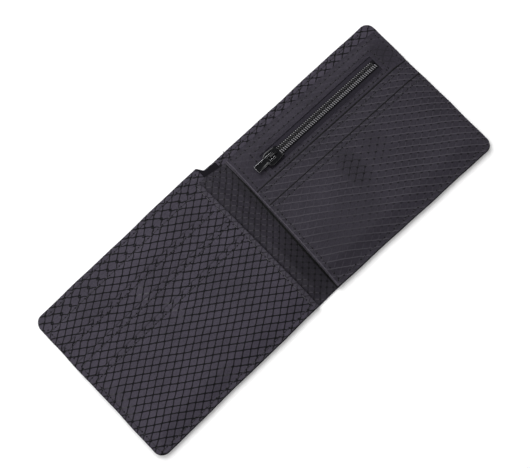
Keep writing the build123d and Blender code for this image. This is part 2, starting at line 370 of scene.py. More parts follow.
def threadMaterial(name, colour):
    material, shader, start = newMaterial(name, {"Specular IOR Level": 0.25, "Sheen Weight": 0.03})
    x, y, z = start.parts()
    ply = ((x + y) * (2.2 / mm)).toWhole() + ((x - y) * (2.2 / mm)).toWhole()
    speck = noise(start, 900.0, 1.0)
    shade = 0.6 + ply * 0.5 + speck * 0.3
    base = shade.node("ShaderNodeVectorMath", {"operation": "SCALE"}, {0: colour[:3], "Scale": shade})
    connect(base, shader, "Base Color")
    connect(0.42 + speck * 0.25, shader, "Roughness")
    connect(bump(ply, 0.8, 0.08), shader, "Normal")
    return material


def hardMaterial(name, colour, worn, roughness, metallic=0.0, specular=0.5, relief=0.25):
    # worn is the colour that shows in small scuffs
    material, shader, start = newMaterial(name, {"Metallic": metallic, "Specular IOR Level": specular})
    scuff = noise(start, 900.0, 4.0, 0.65)
    fine = noise(start, 3600.0, 2.0)
    rub = scuff.ramp(0.56, 0.72)
    connect(rub.blend(colour, worn), shader, "Base Color")
    connect(roughness + (fine - 0.5) * relief * 0.8 + rub * 0.12, shader, "Roughness")
    connect(bump(fine + scuff * 0.5, relief, 0.04), shader, "Normal")
    return material


def give(obj, material):
    obj.data.materials.clear()
    obj.data.materials.append(material)


# Mesh helpers


def points(obj):
    flat = np.empty(len(obj.data.vertices) * 3)
    obj.data.vertices.foreach_get("co", flat)
    return flat.reshape(-1, 3) / mm


def setPoints(obj, place):
    obj.data.vertices.foreach_set("co", (place * mm).ravel())
    obj.data.update()


def pick(obj):
    bpy.ops.object.select_all(action="DESELECT")
    obj.select_set(True)
    bpy.context.view_layer.objects.active = obj


def applyAll(obj):
    pick(obj)
    for modifier in list(obj.modifiers):
        bpy.ops.object.modifier_apply(modifier=modifier.name)


def joined(name, pieces):
    pick(pieces[0])
    for piece in pieces:
        piece.select_set(True)
    if len(pieces) > 1:
        bpy.ops.object.join()
    whole = bpy.context.object
    whole.name = name
    whole.data.name = name
    return whole


def smooth(obj, angle=40):
    pick(obj)
    bpy.ops.object.shade_smooth_by_angle(angle=math.radians(angle))


def step(value, low, high):
    t = np.clip((value - low) / (high - low), 0, 1)
    return t * t * (3 - 2 * t)


def ripple(value, seed):
    # a slow uneven wave between about -1 and 1
    return (np.sin(value / 11.0 + seed) + 0.6 * np.sin(value / 5.3 + 2.1 * seed) + 0.4 * np.sin(value / 23.0 + seed)) / 2


# How the sewn wallet differs from flat sheets. Every cloth layer and stitch goes through this one
# shape, so layers keep their order and stay on each other.
sewn = {
    "half": 115.0, "top": 46.0,
    "pinchWidth": 12.0,  # the layers close up this near the sewn edges
    "tightGap": 0.12,  # what is left between two layers there
    "swell": 0.07,
    "wavy": 0.2,
    "innerTop": 1.1, "innerBottom": -2.4,  # how far the right stack's inner edge stands off true
    "leftInner": -0.5,
    "endStep": 0.09,  # each pocket ends this much outside the sheet behind it, on the right inside it
}

# How far rows of cloth stand off true: at some heights, the offset at the outer end on the left and
# at the fold on the right, then how much it grows to the other end.
skew = {
    "leftStack": ((-46, 0.05, 1.6), (3.6, -1.3, 2.4), (24, -1.2, 2.1), (38, -1.9, 3.1), (46, -1.9, 3.1)),
    "leftShell": ((-46, 0.05, 1.6), (46, -0.3, 2.9)),
    "rightStack": ((-46, 1.8, -1.8), (7.6, 0.7, -1.5), (17.8, -0.2, -0.9), (38, 0.0, -1.1), (46, 0.0, -1.1)),
    "rightShell": ((-46, 1.8, -1.8), (46, -0.95, 1.0)),
}


def skewed(name, y, along):
    heights, start, growth = zip(*skew[name])
    return np.interp(y, heights, start) + np.interp(y, heights, growth) * along


def cadSheet(node, thick):
    # low and high corners of a flat CAD sheet in millimetres, without the strips under it
    low, high = (np.array(corner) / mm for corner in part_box(node))
    low[2] = high[2] - thick
    return low, high


layers = {
    side: [cadSheet(node, thick) for node, thick in stack]
    for side, stack in {
        "left": [("left_shell", 0.4), ("left_shell_lining", 0.25), ("left_divider", 0.35),
                 ("left_stack_base", 0.3), ("left_card_pocket_upper", 0.35),
                 ("left_card_pocket_middle", 0.35), ("left_card_pocket_front", 0.35)],
        "right": [("right_shell", 0.4), ("right_shell_lining", 0.25), ("right_divider", 0.35),
                  ("right_stack_base", 0.3), ("zip_panel", 0.35),
                  ("right_card_pocket_upper", 0.35), ("right_card_pocket_front", 0.35)],
    }.items()
}


def settle(z, side, edge, amount):
    # z moved towards where it lies with its layers drawn together: all of them along a shut edge,
    # those in front of the divider along the open top
    loose = []
    tight = []
    level = 0
    for index, (low, high) in enumerate(layers[side]):
        gap = low[2] - (loose[-1] if loose else 0)
        level += min(gap, sewn["tightGap"]) if edge == "shut" or index > 2 else gap
        thick = high[2] - low[2]
        loose += [low[2], high[2]]
        tight += [level, level + thick]
        level += thick
    loose.append(loose[-1] + 2)
    tight.append(tight[-1] + 2)
    return z + (np.interp(z, loose, tight) - z) * amount


def sew(place, shell=False):
    x, y, z = place.T
    kind = "Shell" if shell else "Stack"
    high = step(y, 34, 42) * shell
    across = step(x, -9, 9) * (1 - high) + step(x, -4.4, -1.5) * high
    left = skewed("left" + kind, y, np.clip((x + 115) / 109, 0, 1))
    right = skewed("right" + kind, y, np.clip((x - 8) / 107, 0, 1))
    zipped = step(x, 12, 18) * step(-x, -112, -106) * step(y, 17.6, 20.6) * step(-y, -34, -31.4)
    shift = (left * (1 - across) + right * across) * (1 - zipped)
    nearEdge = step(np.abs(y), 38, 46)
    nearEnd = step(np.abs(x), 104, 115)
    onDivider = (z > 2.35) * step(x, 5, 7.4) * (1 - step(x, 9, 24))
    onLeft = (z > 2.35) * step(-x, 6.5, 7.4) * (1 - step(-x, 12, 30))
    innerLean = sewn["innerBottom"] + (sewn["innerTop"] - sewn["innerBottom"]) * (y + 45.5) / 86.5
    pockets = np.where(x < 0, (z > 2.9) * 1.0 + (z > 3.4) + (z > 3.95), -1.0 * (z > 3.4) - (z > 4.45) - (z > 5.0))
    moved = np.empty_like(place)
    moved[:, 0] = x + nearEnd * sewn["wavy"] * ripple(y * 1.7, 3.0) + onDivider * innerLean
    moved[:, 0] += onLeft * sewn["leftInner"]
    moved[:, 0] += np.sign(x) * step(np.abs(x), 108, 114) * sewn["endStep"] * pockets
    moved[:, 1] = y + shift + nearEdge * sewn["wavy"] * ripple(x * 1.3 + y, 1.0)
    fromEdge = np.minimum(sewn["half"] - np.abs(x), y + sewn["top"])
    squeeze = 1 - step(fromEdge, 1.0, sewn["pinchWidth"])
    hemmed = step(y, 34, 40) * (1 - zipped)
    height = np.where(x < 0, settle(z, "left", "open", hemmed), settle(z, "right", "open", hemmed))
    tight = np.where(x < 0, settle(z, "left", "shut", 1), settle(z, "right", "shut", 1))
    swell = sewn["swell"] * (ripple(x * 0.55 + y * 0.3, 0.7) + ripple(y * 0.8 - x * 0.2, 2.2)) * (1 - zipped)
    height = height * (1 + swell)
    moved[:, 2] = height + (tight - height) * squeeze
    return moved


def clothMap(obj):
    # the flat cloth's own map, in millimetres, kept before the cloth is shaped
    layer = obj.data.uv_layers.get("cloth") or obj.data.uv_layers.new(name="cloth")
    corner = np.empty(len(obj.data.loops), int)
    obj.data.loops.foreach_get("vertex_index", corner)
    layer.data.foreach_set("uv", points(obj)[corner, :2].ravel())
    layer.active_render = True


def sheetOf(name, low, high, top, cell):
    # a flat grid from low to high in X and Y
    size = (high[0] - low[0], high[1] - low[1])
    bpy.ops.object.select_all(action="DESELECT")
    bpy.ops.mesh.primitive_grid_add(
        x_subdivisions=round(size[0] / cell), y_subdivisions=round(size[1] / cell), size=1, calc_uvs=False,
        location=((low[0] + high[0]) / 2 * mm, (low[1] + high[1]) / 2 * mm, top * mm))
    sheet = bpy.context.object
    sheet.name = name
    sheet.data.name = name
    sheet.scale = (size[0] * mm, size[1] * mm, 1)
    bpy.ops.object.transform_apply(location=True, rotation=True, scale=True)
    return sheet


def roundCorner(place, corner, inward, radius):
    # squares of the grid at a corner are drawn on to a quarter disc
    centre = np.array(corner) + np.array(inward) * radius
    out = (place[:, :2] - centre) * -np.array(inward) / radius
    inside = (out > 0).all(1)
    near = out[inside]
    scale = near.max(1) / np.maximum(np.hypot(near[:, 0], near[:, 1]), 1e-9)
    place[inside, :2] = centre + near * scale[:, None] * -np.array(inward) * radius
    return place


def hemEdge(obj, width):
    pick(obj)
    bpy.ops.object.mode_set(mode="EDIT")
    bpy.ops.mesh.select_all(action="SELECT")
    bpy.ops.mesh.inset(thickness=width * mm, use_boundary=True, use_even_offset=True)
    bpy.ops.object.mode_set(mode="OBJECT")


def thicken(obj, thick, edge=0.1):
    wall = obj.modifiers.new("wall", "SOLIDIFY")
    wall.thickness = thick * mm
    wall.offset = -1
    soft = obj.modifiers.new("soft", "BEVEL")
    soft.width = edge * mm
    soft.segments = 2
    soft.limit_method = "ANGLE"
    soft.angle_limit = math.radians(50)
    applyAll(obj)


def seamLift(x, y, rows, columns):
    # the groove that a seam draws in the cloth, and the small waves between its stitches
    lift = np.zeros_like(x)
    for row in rows:
        away = y - row
        lift -= 0.07 * np.exp(-(away / 0.7) ** 2)
        lift += 0.06 * np.cos(2 * np.pi * x / stitch["pitch"] + np.pi) * np.exp(-(away / 1.5) ** 2)
    for column in columns:
        away = x - column
        lift -= 0.07 * np.exp(-(away / 0.7) ** 2)
        lift += 0.05 * np.cos(2 * np.pi * y / stitch["pitch"] + np.pi) * np.exp(-(away / 1.4) ** 2)
    return lift


def seam(start, end, top):
    # one straight row of stitches between two points, on whole steps of the stitch pitch
    pitch = stitch["pitch"]
    axis = 0 if abs(end[0] - start[0]) > abs(end[1] - start[1]) else 1
    first = math.ceil(min(start[axis], end[axis]) / pitch)
    last = math.floor(max(start[axis], end[axis]) / pitch)
    place = [start[0], start[1], top + stitch["height"] * (0.5 - stitch["sunk"])]
    place[axis] = (first + 0.5) * pitch
    bpy.ops.object.select_all(action="DESELECT")
    bpy.ops.mesh.primitive_uv_sphere_add(segments=10, ring_count=6, radius=0.5, calc_uvs=False,
                                         location=[v * mm for v in place], rotation=(0, math.pi / 2, 0))
    bar = bpy.context.object
    bpy.ops.object.transform_apply(location=False, rotation=True, scale=False)
    size = [stitch["width"], stitch["width"], stitch["height"]]
    size[axis] = stitch["length"]
    bar.scale = [v * mm for v in size]
    bpy.ops.object.transform_apply(location=True, rotation=False, scale=True)
    repeat = bar.modifiers.new("repeat", "ARRAY")
    repeat.use_relative_offset = False
    repeat.use_constant_offset = True
    offset = [0, 0, 0]
    offset[axis] = pitch * mm
    repeat.constant_offset_displace = offset
    repeat.count = max(1, last - first)
    applyAll(bar)
    return bar


def threadPiece(name, rows, lift, shell=False):
    piece = joined(name, rows)
    place = points(piece)
    place[:, 2] += lift(place[:, 0], place[:, 1])
    setPoints(piece, sew(place, shell))
    smooth(piece, 60)
    return piece


# Cloth pieces

seams = {
    "outer": 112.5, "inner": 10.4, "bottom": -43.5,  # distances from the fold line and the middle
    "belowMouth": 2.4, "hem": 38.0, "shellHem": 43.7,
    "boxLow": 19.6, "boxHigh": 34.2, "boxLeft": 19.8, "boxRight": 103.6,
}


def cloth(name, low, high, material, rows=(), columns=(), cell=0.85, corners=(), mouth=0.0, shape=None, hole=None,
          shell=False):
    # one sheet of cloth from its flat outline to its sewn shape
    thick = high[2] - low[2]
    sheet = sheetOf(name, low, high, high[2], cell)
    if hole:
        cutOut(sheet, hole)
    place = points(sheet)
    for sideX, sideY, radius in corners:
        corner = (high[0] if sideX > 0 else low[0], high[1] if sideY > 0 else low[1])
        place = roundCorner(place, corner, (-sideX, -sideY), radius)
    setPoints(sheet, place)
    hemEdge(sheet, 0.3)
    clothMap(sheet)
    thicken(sheet, thick)
    place = points(sheet)
    x, y = place[:, 0], place[:, 1]
    lift = seamLift(x, y, [row[0] for row in rows], [column[0] for column in columns])
    if mouth:
        lift += mouth * gape(x, y, low, high)
    if shape:
        lift += shape(x, y)
    place[:, 2] += lift
    setPoints(sheet, sew(place, shell))
    smooth(sheet)
    give(sheet, material)
    return sheet


def declare(low, high, below, hole=None):
    # the size the cloth was cut to, less the opening in it
    width, length = (high[0] - low[0]) * mm, (high[1] - low[1]) * mm
    area = width * length
    if hole:
        area -= (hole[1] - hole[0]) * (hole[3] - hole[2]) * mm * mm


def gape(x, y, low, high):
    # a pocket's mouth stands a little open between its ends
    along = np.clip((x - low[0]) / (high[0] - low[0]), 0, 1)
    return np.sin(np.pi * along) ** 0.7 * np.exp(-((high[1] - y) / 5.0) ** 2) * (y < high[1] + 0.1)


def cutOut(sheet, hole):
    # a straight-sided opening: cut lines along its edges, then its faces taken out
    left, right, bottom, top = hole
    pick(sheet)
    bpy.ops.object.mode_set(mode="EDIT")
    alongX, alongY = (1, 0, 0), (0, 1, 0)
    for at, normal in (((left, 0), alongX), ((right, 0), alongX), ((0, bottom), alongY), ((0, top), alongY)):
        bpy.ops.mesh.select_all(action="SELECT")
        bpy.ops.mesh.bisect(plane_co=(at[0] * mm, at[1] * mm, 0), plane_no=normal)
    bpy.ops.mesh.select_all(action="SELECT")
    bpy.ops.mesh.remove_doubles(threshold=0.02 * mm)
    bpy.ops.mesh.select_all(action="DESELECT")
    bpy.ops.object.mode_set(mode="OBJECT")
    for face in sheet.data.polygons:
        x, y = face.center[0] / mm, face.center[1] / mm
        face.select = left < x < right and bottom < y < top
    bpy.ops.object.mode_set(mode="EDIT")
    bpy.ops.mesh.delete(type="FACE")
    bpy.ops.object.mode_set(mode="OBJECT")


def noLift(x, y):
    return np.zeros_like(x)


rimWrap = 0.16  # thickness of the cloth rolled round a stack's inner edge


def makeStack(side, body, parts, finish):
    # base sheet and everything sewn on it, for one half
    sign = -1 if side == "left" else 1
    outer = sign * seams["outer"]
    inner = sign * seams["inner"]
    ends = sorted((inner, outer))
    made = []
    edgeSeams = []
    innerSeams = []
    mouthSeams = []
    for index, part in enumerate(parts):
        low, high = cadSheet(part["node"], part["thick"])
        below = cadSheet(parts[index + 1]["node"], 0.3)[1][1] if index + 1 < len(parts) else seams["bottom"]
        first = index == 0
        row = seams["hem"] if first else high[1] - seams["belowMouth"]
        rows = [(row, ends[0], ends[1])] if part["seam"] else []
        columns = [(outer, low[1] + 4, high[1] - 1), (inner, low[1] + 2, high[1] - 1)]
        if index + 1 == len(parts):
            rows.append((seams["bottom"], low[0] + 1, high[0] - 1))
        rows += part.get("rows", [])
        columns += part.get("columns", [])
        mouth = sign < 0 or index > 0
        gaps = [(below, low[0], high[0], 0.95 if sign > 0 else 0.4)] if mouth and index + 1 < len(parts) else []
        material = clothMaterial(part["name"] + "Cloth", part.get("finish", finish), part["shift"], rows=rows,
                                 columns=columns, gaps=gaps, wave=part["wave"])
        corners = [(sign, -1, 4.5), (sign, 1, 1.5)]
        sheet = cloth(part["name"], low, high, material, rows, columns, corners=corners,
                      mouth=part["gape"], hole=part.get("hole"))
        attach(sheet, body)
        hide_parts(part["node"])
        declare(low, high, [parts[index - 1]["node"] if index else side + "_divider"], part.get("hole"))
        made.append(sheet)
        top = high[2]
        rowLift = [r[0] for r in rows]
        columnLift = [c[0] for c in columns]

        def lift(x, y, low=low, high=high, rowLift=rowLift, columnLift=columnLift, part=part):
            return seamLift(x, y, rowLift, columnLift) + part["gape"] * gape(x, y, low, high)

        if part["seam"]:
            piece = threadPiece(part["name"] + "MouthThread", [seam((ends[0], row), (ends[1], row), top)], lift)
            mouthSeams.append(piece)
        edgeSeams.append(threadPiece("edge", [seam((outer, below + 0.6), (outer, high[1] - 0.6), top)], lift))
        onRim = top + (rimWrap if sign < 0 else 0)
        innerSeams.append(threadPiece("inner", [seam((inner, below + 0.6), (inner, high[1] - 0.6), onRim)], lift))
        if index + 1 == len(parts):
            bottom = seam((low[0] + 1.5, seams["bottom"]), (high[0] - 1.5, seams["bottom"]), top)
            edgeSeams.append(threadPiece("bottom", [bottom], lift))
    hem = mouthSeams.pop(0)
    for name, pieces, node in (
        (side + "EdgeThread", edgeSeams, side + "_edge_thread"),
        (side + "InnerEdgeThread", innerSeams, side + "_inner_edge_thread"),
        (side + "MouthThread", mouthSeams, side + "_mouth_thread"),
        (side + "HemThread", [hem], side + "_hem_thread"),
    ):
        thread = joined(name, pieces)
        give(thread, threadPaintedGlint if node == "left_inner_edge_thread" else threadStuff)
        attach(thread, body)
        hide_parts(node)
    print(side, "stack made:", len(made), "sheets")
    return made


threadStuff = threadMaterial("threadBlack", rgb(0.017, 0.0155, 0.020))
# thread on the left stack's inner edge is painted lighter: painted glints of the thread catching the light
threadPaintedGlint = threadMaterial("threadPaintedGlint", rgb(0.055, 0.052, 0.06))
leftStack = [
    {"name": "leftStackBase", "node": "left_stack_base", "thick": 0.3, "seam": True, "shift": (0.4, 1.2),
     "wave": 0.4, "gape": 0.0},
    {"name": "leftPocketUpper", "node": "left_card_pocket_upper", "thick": 0.35, "seam": True, "shift": (2.1, 0.3),
     "wave": 0.55, "gape": 0.12},
    {"name": "leftPocketMiddle", "node": "left_card_pocket_middle", "thick": 0.35, "seam": True,
     "shift": (4.9, 2.0), "wave": 0.6, "gape": 0.12},
    {"name": "leftPocketFront", "node": "left_card_pocket_front", "thick": 0.35, "seam": True, "shift": (1.0, 0.9),
     "wave": 0.35, "gape": 0.12},
]
window = {"left": 22.8, "right": 100.8, "bottom": 21.2, "top": 30.8}
rightStack = [
    {"name": "rightStackBase", "node": "right_stack_base", "thick": 0.3, "seam": False, "shift": (0, 0),
     "wave": 0.3, "gape": 0.0},
    {"name": "zipPanel", "node": "zip_panel", "thick": 0.35, "seam": True, "shift": (1.7, 1.9), "wave": 0.3,
     "gape": 0.0, "finish": "plain", "hole": (window["left"], window["right"], window["bottom"], window["top"]),
     "rows": [(seams["boxHigh"], seams["boxLeft"], seams["boxRight"]),
              (seams["boxLow"], seams["boxLeft"], seams["boxRight"])],
     "columns": [(seams["boxLeft"], seams["boxLow"], seams["boxHigh"]),
                 (seams["boxRight"], seams["boxLow"], seams["boxHigh"])]},
    {"name": "rightPocketUpper", "node": "right_card_pocket_upper", "thick": 0.35, "seam": True,
     "shift": (3.3, 0.6), "wave": 0.3, "gape": 0.15},
    {"name": "rightPocketFront", "node": "right_card_pocket_front", "thick": 0.35, "seam": True,
     "shift": (0.8, 3.1), "wave": 0.3, "gape": 0.15},
]

makeStack("left", "left_half", leftStack, "left")
makeStack("right", "right_half", rightStack, "right")


# Each stack's free inner edge is one rolled fold of cloth that wraps all its layers.
rim = {
    "left": {"name": "leftStackRim", "body": "left_half", "sign": -1, "over": 1.7, "bulge": 0.35, "finish": "rim",
             "node": "left_stack_base"},
    # the right rim's finish is a painted highlight along its roll
    "right": {"name": "rightStackRim", "body": "right_half", "sign": 1, "over": 0.25, "bulge": 0.35,
              "finish": "rimPaintedHighlight", "node": "right_stack_base"},
}
inEdge = 8.2


def stackTop(side, y, blur=0.6):
    # height of the uppermost layer, easing from one to the next at each mouth
    sheets = layers[side][3:] if side == "left" else layers[side][4:]
    top = np.full_like(y, sheets[0][1][2])
    for (lowA, highA), (lowB, highB) in zip(sheets, sheets[1:]):
        top += (highB[2] - highA[2]) * (1 - step(y, highB[1] - blur, highB[1] + blur))
    return top


def makeRim(side):
    spec = rim[side]
    low, high = cadSheet(spec["node"], 0.3)
    turns = 14
    strip = sheetOf(spec["name"], (0, low[1]), (turns, high[1]), low[2], 1.0)
    place = points(strip)
    alongRoll = place[:, 0] / turns  # 0 under the stack, 1 on top of it
    y = place[:, 1].copy()
    top = stackTop(side, y) + rimWrap
    foot = low[2] - 0.02
    angle = np.pi * np.clip((alongRoll - 0.22) / 0.5, 0, 1)
    middle = (top + foot) / 2
    depth = -np.cos(angle) * (top - foot) / 2
    outward = np.sin(angle) * spec["bulge"]
    under = np.clip((0.22 - alongRoll) / 0.22, 0, 1) * 1.4
    over = np.clip((alongRoll - 0.72) / 0.28, 0, 1) * spec["over"]
    place[:, 0] = spec["sign"] * (inEdge + 0.05 - outward + under + over)
    place[:, 2] = middle + depth - 0.1 * step(over, spec["over"] * 0.7, spec["over"])
    setPoints(strip, place)
    clothMap(strip)
    if spec["sign"] > 0:
        flip(strip)
    wall = strip.modifiers.new("wall", "SOLIDIFY")
    wall.thickness = rimWrap * mm
    wall.offset = -1
    applyAll(strip)
    place = points(strip)
    place[:, 2] += seamLift(place[:, 0], place[:, 1], [], [spec["sign"] * seams["inner"]]) * (place[:, 2] > 3.5)
    setPoints(strip, sew(place))
    smooth(strip, 60)
    columns = [(spec["sign"] * seams["inner"], low[1] + 2, high[1] - 1)]
    give(strip, clothMaterial(spec["name"] + "Cloth", spec["finish"], (1.3, 0.4), columns=columns, wave=0.3))
    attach(strip, spec["body"])
    print(spec["name"], "rolled")


def flip(obj):
    pick(obj)
    bpy.ops.object.mode_set(mode="EDIT")
    bpy.ops.mesh.select_all(action="SELECT")
    bpy.ops.mesh.flip_normals()
    bpy.ops.object.mode_set(mode="OBJECT")


makeRim("left")
makeRim("right")


# The cloth that crosses the fold: shell, its lining, and the divider of the note compartment.
hemTurn = {"width": 8.6, "left": -4.2, "right": 5.2, "thick": 0.3}
notch = {"top": -0.3, "bottom": 0.1, "half": 7.5}
perimeter = [(seams["bottom"], -111, 111)]


def dipAtFold(place):
    # both long edges bow a little where they cross the fold
    dip = 1 - step(np.abs(place[:, 0]), 0, notch["half"])
    upper = notch["top"] * step(place[:, 1], 36, 46)
    lower = notch["bottom"] * step(-place[:, 1], 36, 46)
    place[:, 1] -= dip * (upper - lower)


def across(name, nodes, thick, material, below, cell=1.0, shape=None, corners=5.0, rows=(), columns=(), shell=False,
           slot="ripstop_cloth"):
    # one sheet from the left end to the right end, across the fold
    lowLeft, highLeft = cadSheet(nodes[0], thick)
    lowRight, highRight = cadSheet(nodes[1], thick)
    sheet = sheetOf(name, (lowLeft[0], lowLeft[1]), (highRight[0], highRight[1]), highLeft[2], cell)
    place = points(sheet)
    for sideX in (-1, 1):
        for sideY in (-1, 1):
            corner = ((lowLeft, highRight)[sideX > 0][0], (lowLeft, highRight)[sideY > 0][1])
            place = roundCorner(place, corner, (-sideX, -sideY), corners if sideY < 0 or shell else 1.5)
    dipAtFold(place)
    setPoints(sheet, place)
    hemEdge(sheet, 0.3)
    clothMap(sheet)
    thicken(sheet, thick)
    place = points(sheet)
    x, y = place[:, 0], place[:, 1]
    place[:, 2] += seamLift(x, y, [row[0] for row in rows], [column[0] for column in columns]) * (0 if shell else 1)
    if shape:
        place[:, 2] += shape(x, y)
    setPoints(sheet, sew(place, shell))
    smooth(sheet)
    give(sheet, material)
    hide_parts(*nodes)
    declare(lowLeft, highRight, below)
    return sheet


def bendAtFold(piece):
    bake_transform(piece)


def stripShape(x, y):
    # between the stacks the divider humps up beside the left stack and sinks under the right one
    near = (1 - step(np.abs(x), 7.0, 11.0)) * step(y, -45, -38)
    hump = 1.75 * np.exp(-(((x + 4.4) / 3.3) ** 2)) - 0.75 * np.exp(-(((x - 5.8) / 2.6) ** 2))
    wave = 0.18 * ripple(y * 1.1 + x * 2.0, 0.4)
    return near * (hump + wave)


seamsOut = [(sign * seams["outer"], -41, 44) for sign in (-1, 1)]
shellRows = perimeter + [(seams["shellHem"], -111, 111)]
shell = across("outerShell", ("left_shell", "right_shell"), 0.4,
               clothMaterial("outerShellCloth", "left", (2.2, 0.7), rows=shellRows, columns=seamsOut, wave=0.3),
               [], shell=True, rows=shellRows, columns=seamsOut)


def hemStrip(name, fromX, toX):
    # the shell's top edge turned in over the lining
    low, high = cadSheet("left_shell_lining", 0.25)
    top = high[2] + hemTurn["thick"]
    strip = sheetOf(name, (fromX, sewn["top"] - hemTurn["width"]), (toX, sewn["top"] + 0.05), top, 0.8)
    place = points(strip)
    sign = 1 if toX > 50 else -1
    outer = max(abs(fromX), abs(toX)) * sign
    place = roundCorner(place, (outer, sewn["top"] + 0.05), (-sign, -1), 5.0)
    dipAtFold(place)
    setPoints(strip, place)
    hemEdge(strip, 0.3)
    clothMap(strip)
    thicken(strip, hemTurn["thick"])
    place = points(strip)
    place[:, 2] -= 0.35 * step(place[:, 1], 45.2, 46.2)
    place[:, 2] += seamLift(place[:, 0], place[:, 1], [seams["shellHem"]], [])
    setPoints(strip, sew(place, True))
    smooth(strip)
    return strip


hem = joined("shellHemTurn", [hemStrip("hemLeft", -114.9, hemTurn["left"]),
                              hemStrip("hemRight", hemTurn["right"], 114.9)])
give(hem, clothMaterial("hemTurnCloth", "left", (0.2, 1.5), rows=[(seams["shellHem"], -111, 111)], wave=0.5))
# the lining is painted near-black: its own dark colour together with painted shade deep inside the note compartment,
# which shows at the fold where the hem turn stops either side
lining = across("shellLining", ("left_shell_lining", "right_shell_lining"), 0.25,
                plainCloth("liningCloth", rgb(0.006, 0.005, 0.008), 1.6), ["left_shell", "right_shell"], corners=4.5,
                shell=True, slot="lining_cloth")
dividerRows = [(seams["hem"], -111, 111)]
divider = across("noteDivider", ("left_divider", "right_divider"), 0.35,
                 clothMaterial("dividerCloth", "strip", (0.9, 0.5), size=(4.4, 4.35), rows=dividerRows, wave=0.35),
                 ["left_shell_lining", "right_shell_lining"], shape=stripShape, rows=dividerRows, corners=4.5)


def stripThread():
    # hem stitches on the divider where it shows between the stacks
    top = cadSheet("left_divider", 0.35)[1][2]

    def lift(x, y):
        return seamLift(x, y, [seams["hem"]], []) + stripShape(x, y)

    piece = threadPiece("dividerHemThread", [seam((-7.0, seams["hem"]), (7.0, seams["hem"]), top)], lift)
    give(piece, threadStuff)
    return piece


def shellThread():
    # the hem's stitches inside, and the edge stitches that show on the outside
    top = cadSheet("left_shell_lining", 0.25)[1][2] + hemTurn["thick"]

    def lift(x, y):
        return seamLift(x, y, [seams["shellHem"]], [])

    row = seams["shellHem"]
    inside = threadPiece("inside", [seam((-110, row), (hemTurn["left"] - 0.5, row), top),
                                    seam((hemTurn["right"] + 0.5, row), (110, row), top)], lift, True)
    under = 0.02
    outside = [seam((-110.5, at), (110.5, at), under) for at in (seams["bottom"], row)]
    outside += [seam((sign * seams["outer"], -41), (sign * seams["outer"], 41.5), under) for sign in (-1, 1)]
    outside = threadPiece("outside", outside, noLift, True)
    piece = joined("shellThread", [inside, outside])
    give(piece, threadStuff)
    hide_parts("left_shell_thread", "right_shell_thread")
    return piece


for piece in (stripThread(), shellThread()):
    bendAtFold(piece)
for piece in (shell, hem, lining, divider):
    bendAtFold(piece)
print("shell, lining and divider made")


# Zip: tapes, coils, slider and pull. Its parts are straight and true, as the slider runs on them.
zipParts = {"y": 26.0, "pitch": 1.2, "wire": 0.27, "reach": 2.25, "lap": 0.28, "foot": 4.02, "rise": 1.12}


sliderPaint = hardMaterial("sliderPaint", rgb(0.003, 0.003, 0.004), rgb(0.008, 0.008, 0.009), 0.12, specular=0.25,
                           relief=0.04)
# lighter edge colour for the slider: a painted highlight along its edges
hardMaterial("sliderEdgeHighlight", rgb(0.10, 0.10, 0.102), rgb(0.16, 0.16, 0.162), 0.3, metallic=0.3)
hardMaterial("pullWornEdge", rgb(0.34, 0.34, 0.35), rgb(0.10, 0.10, 0.102), 0.35, metallic=0.7)


def makeTapes():
    for word, sign in (("Upper", 1), ("Lower", -1)):
        # the lower tape is painted darker: the coil's shadow painted on it
        coilShade = 1.0 if sign > 0 else 0.8
        stuff = plainCloth("zipTapeCloth" + word, rgb(0.021 * coilShade, 0.0185 * coilShade, 0.026 * coilShade), 2.2, 0.8,
                           (zipParts["y"], zipParts["reach"]))
        low, high = cadSheet("zip_tape_" + word.lower(), 0.3)
        tape = sheetOf("zipTape" + word, low, high, high[2], 0.7)
        thicken(tape, 0.26, 0.06)
        place = points(tape)
        away = np.abs(place[:, 1] - zipParts["y"])
        place[:, 2] -= 0.12 * step(away, 2.6, 4.2) - 0.05 * np.cos(place[:, 0] * 1.7) * step(away, 2.6, 4.0)
        setPoints(tape, place)
        smooth(tape)
        give(tape, stuff)
        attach(tape, "right_half")
        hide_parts("zip_tape_" + word.lower())


def coilNylon(name, sign):
    # glossy nylon with its highlights painted into the colour: the lower row painted shining along its top, the upper
    # row only at its outer bends
    material, shader, start = newMaterial(name, {"Specular IOR Level": 0.5})
    x, y, z = start.parts()
    away = abs(y / mm - zipParts["y"])
    shine = away.ramp(1.5, 1.9) if sign > 0 else away.ramp(0.0, 0.5) * (1 - away.ramp(1.75, 2.1))
    shine = shine * (z / mm).ramp(4.7, 5.0) * (0.5 + 0.5 * abs(away - 1.05).ramp(0.15, 0.6))
    fine = noise(start, 2600.0, 2.0)
    connect(shine.blend(rgb(0.010, 0.0095, 0.011), rgb(0.23, 0.225, 0.24)), shader, "Base Color")
    connect(0.25 + (fine - 0.5) * 0.2, shader, "Roughness")
    connect(bump(fine, 0.3, 0.03), shader, "Normal")
    return material


